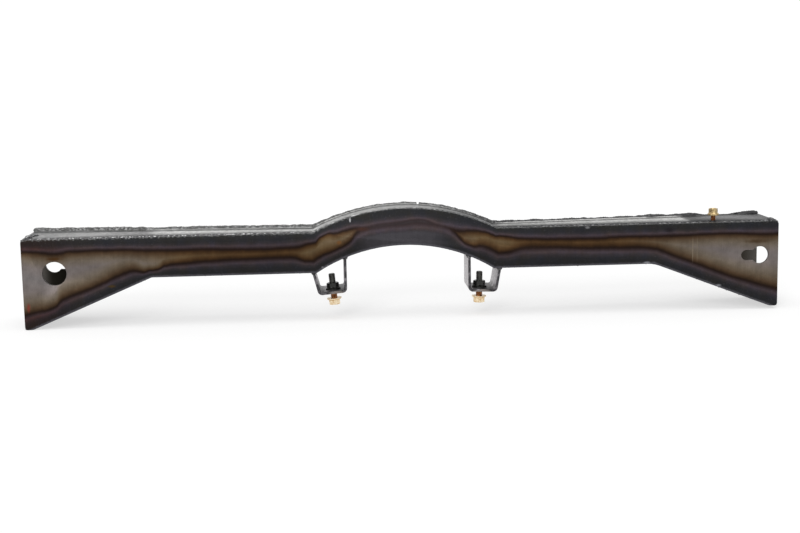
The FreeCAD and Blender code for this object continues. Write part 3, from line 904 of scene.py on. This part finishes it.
def putAt(mesh, origin, direction):
    turn = Vector((0, 0, 1)).rotation_difference(Vector(direction)).to_matrix().to_4x4()
    bmesh.ops.scale(mesh, vec=(mm, mm, mm), verts=mesh.verts)
    bmesh.ops.transform(mesh, matrix=Matrix.Translation(origin) @ turn, verts=mesh.verts)
    return mesh


def colourShank(mesh, size, farEnd=None):
    # second material, the zinc in painted shade, on the thread beside the head; third beyond farEnd
    for face in mesh.faces:
        centre = face.calc_center_median()
        if farEnd is not None and centre.z < farEnd:
            face.material_index = 2
        elif centre.z < 0 and math.hypot(*centre.xy) < size["radius"] + 0.1:
            face.material_index = 1


for side in ("left", "right"):
    seat = mounts[side + "_bearing_seat"]
    foot = Vector(seat["pos_m"])
    down = Vector(seat["axis"]).normalized()
    mesh = fastener(bigBolt, True)
    colourShank(mesh, bigBolt, -bigBolt["gap"] - 0.2)
    putAt(mesh, foot + down * bigBolt["gap"] * mm, down)
    finishPiece(mesh, side + "_bearing_bolt_threaded", [yellowZinc, zincInPaintedShade, studPaintedHighlight],
                side + "_bearing_bolt", 28)
    mesh = putAt(fastener(bigNut, False), foot - down * bigBolt["plate"] * mm, -down)
    finishPiece(mesh, side + "_flange_nut_turned", [blackOxide],
                side + "_flange_nut", 28)

seat = mounts["line_clip_seat"]
mesh = fastener(clipScrew, True)
colourShank(mesh, clipScrew)
putAt(mesh, Vector(seat["pos_m"]) + Vector(seat["axis"]) * clipScrew["gap"] * mm, seat["axis"])
finishPiece(mesh, "line_clip_screw_threaded", [bronzeZinc, zincInPaintedShade],
            "line_clip_screw", 28)
print("fasteners ready")


# weld spatter along the front edges

spatter = {
    "seed": 7,
    "count": 150,
    "small": 0.35,
    "large": 0.95,
    "fromEnd": 6,
    "underShare": 0.4,
    "sunk": 0.1,
    "behindFront": (1.5, 7.0),
    "stretch": (0.8, 1.5),
    "flatness": 0.6,
    "lumpUneven": 0.16,
    "lumpDetail": 2.1,
    "lumpSunk": 0.2,
}

# lumps of weld left on the top at both ends: x, y behind the front face, half length, width, height
endLumps = [(450.2, 6.2, 5.8, 5.0, 3.3), (443.5, 7.0, 5.0, 4.5, 1.6), (451.6, 16.0, 4.6, 7.5, 3.0),
            (-451.5, 24.0, 4.6, 10.0, 3.6), (-449.5, 42.0, 6.0, 9.0, 3.0), (-452.2, 10.0, 4.0, 6.0, 2.0)]


def undersideAt(x):
    # z of the bar's underside, in millimetres like x
    if abs(x) < bar["archHalfSpan"] - bar["underInset"]:
        return bar["archCentre"] + math.sqrt(bar["underRadius"] ** 2 - x * x)
    reach = bar["leftFlareReach"] if x < 0 else bar["rightFlareReach"]
    foot = 0.0 if x < 0 else bar["rightFootRise"]
    beyond = abs(x) - (bar["halfLength"] - reach)
    if beyond <= 0:
        return bar["bottom"]
    fall = (bar["bottom"] - foot) / (reach - bar["footFlat"])
    return max(bar["bottom"] - beyond * fall, foot)


def buildSpatter():
    draw = random.Random(spatter["seed"])
    mesh = bmesh.new()
    reach = bar["halfLength"] - spatter["fromEnd"]
    for count in range(spatter["count"]):
        x = draw.uniform(-reach, reach)
        size = draw.uniform(spatter["small"], spatter["large"]) * draw.uniform(0.5, 1.0)
        if draw.random() < spatter["underShare"]:
            level = max(undersideAt(x) - spatter["sunk"], size)
        else:
            level = topSurfaceAt(x) + spatter["sunk"]
        centre = Vector((x, bar["front"] + draw.uniform(*spatter["behindFront"]), level))
        made = bmesh.ops.create_icosphere(mesh, subdivisions=1, radius=size)
        squash = Matrix.Diagonal((draw.uniform(*spatter["stretch"]), 1.0, spatter["flatness"], 1.0))
        bmesh.ops.transform(mesh, matrix=Matrix.Translation(centre) @ squash, verts=made["verts"])
    for x, back, halfLength, halfWidth, halfHeight in endLumps:
        made = bmesh.ops.create_icosphere(mesh, subdivisions=3, radius=1.0)
        for vert in made["verts"]:
            uneven = noise.noise(vert.co * spatter["lumpDetail"] + Vector((x, back, 0)))
            vert.co *= 1 + spatter["lumpUneven"] * uneven
        swelled = Matrix.Diagonal((halfLength, halfWidth, halfHeight, 1.0))
        centre = Vector((x, bar["front"] + back, bar["top"] - spatter["lumpSunk"]))
        bmesh.ops.transform(mesh, matrix=Matrix.Translation(centre) @ swelled, verts=made["verts"])
    bmesh.ops.scale(mesh, vec=(mm, mm, mm), verts=mesh.verts)
    finishPiece(mesh, "weld_spatter", [groundWeld], None, 80)


buildSpatter()
print("spatter ready")


# floor, world, lamps and camera

# the floor and the world are lifted for rays from the camera or off the metal, not as light
stage = {"floorSize": 60, "tone": 0.5, "lift": 0.58, "ambient": 0.46, "white": 1.02}

# name, direction, width of the sun in degrees, power
suns = [("overheadLight", (0.1, 0.3, -1), 50, 0.9), ("frontLight", (0.35, 1, -0.5), 26, 1.25)]

view = {"place": (-0.0991, -1.7133, 0.3161), "yaw": 3.1625, "pitch": 8.54, "roll": -1.0875,
        "lens": 63.06, "sensor": 36, "nearest": 0.05}


def buildFloor():
    mesh = bmesh.new()
    bmesh.ops.create_grid(mesh, x_segments=1, y_segments=1, size=stage["floorSize"])
    data = bpy.data.meshes.new("floor")
    mesh.to_mesh(data)
    mesh.free()
    floor = bpy.data.objects.new("floor", data)
    bpy.context.scene.collection.objects.link(floor)
    material, tree, shader = newMaterial("paleFloor", roughness=0.9, specular=0.0)
    shader.inputs["Base Color"].default_value = (*[stage["tone"]] * 3, 1.0)
    lift = addNode(tree, "Emission")
    rays = addNode(tree, "LightPath")
    seen = calc(tree, "MAXIMUM", rays.outputs["Is Camera Ray"], rays.outputs["Is Glossy Ray"])
    feed(tree, lift.inputs["Strength"], calc(tree, "MULTIPLY", seen, stage["lift"]))
    both = addNode(tree, "AddShader")
    feed(tree, both.inputs[0], shader.outputs[0])
    feed(tree, both.inputs[1], lift.outputs[0])
    feed(tree, tree.nodes["Material Output"].inputs["Surface"], both.outputs[0])
    data.materials.append(material)


def buildWorld():
    world = bpy.data.worlds.new("studio")
    bpy.context.scene.world = world
    world.use_nodes = True
    tree = world.node_tree
    background = tree.nodes["Background"]
    background.inputs["Color"].default_value = (1, 1, 1, 1)
    rays = addNode(tree, "LightPath")
    seen = calc(tree, "MAXIMUM", rays.outputs["Is Camera Ray"], rays.outputs["Is Glossy Ray"])
    extra = stage["white"] - stage["ambient"]
    strength = calc(tree, "MULTIPLY_ADD", seen, extra, stage["ambient"])
    feed(tree, background.inputs["Strength"], strength)


def addSun(name, direction, angle, power):
    lamp = bpy.data.lights.new(name, "SUN")
    lamp.energy = power
    lamp.angle = math.radians(angle)
    holder = bpy.data.objects.new(name, lamp)
    holder.rotation_euler = Vector(direction).to_track_quat("-Z", "Y").to_euler()
    bpy.context.scene.collection.objects.link(holder)


def addCamera():
    data = bpy.data.cameras.new("camera")
    data.lens = view["lens"]
    data.sensor_width = view["sensor"]
    data.sensor_fit = "HORIZONTAL"
    data.clip_start = view["nearest"]
    camera = bpy.data.objects.new("camera", data)
    turn = Matrix.Rotation(math.radians(-view["yaw"]), 4, "Z")
    tip = Matrix.Rotation(math.radians(90 - view["pitch"]), 4, "X")
    roll = Matrix.Rotation(math.radians(view["roll"]), 4, "Z")
    camera.matrix_world = Matrix.Translation(view["place"]) @ turn @ tip @ roll
    bpy.context.scene.collection.objects.link(camera)
    bpy.context.scene.camera = camera


buildFloor()
buildWorld()
for sun in suns:
    addSun(*sun)
addCamera()
bpy.context.scene.view_settings.view_transform = "Standard"
print("stage ready")
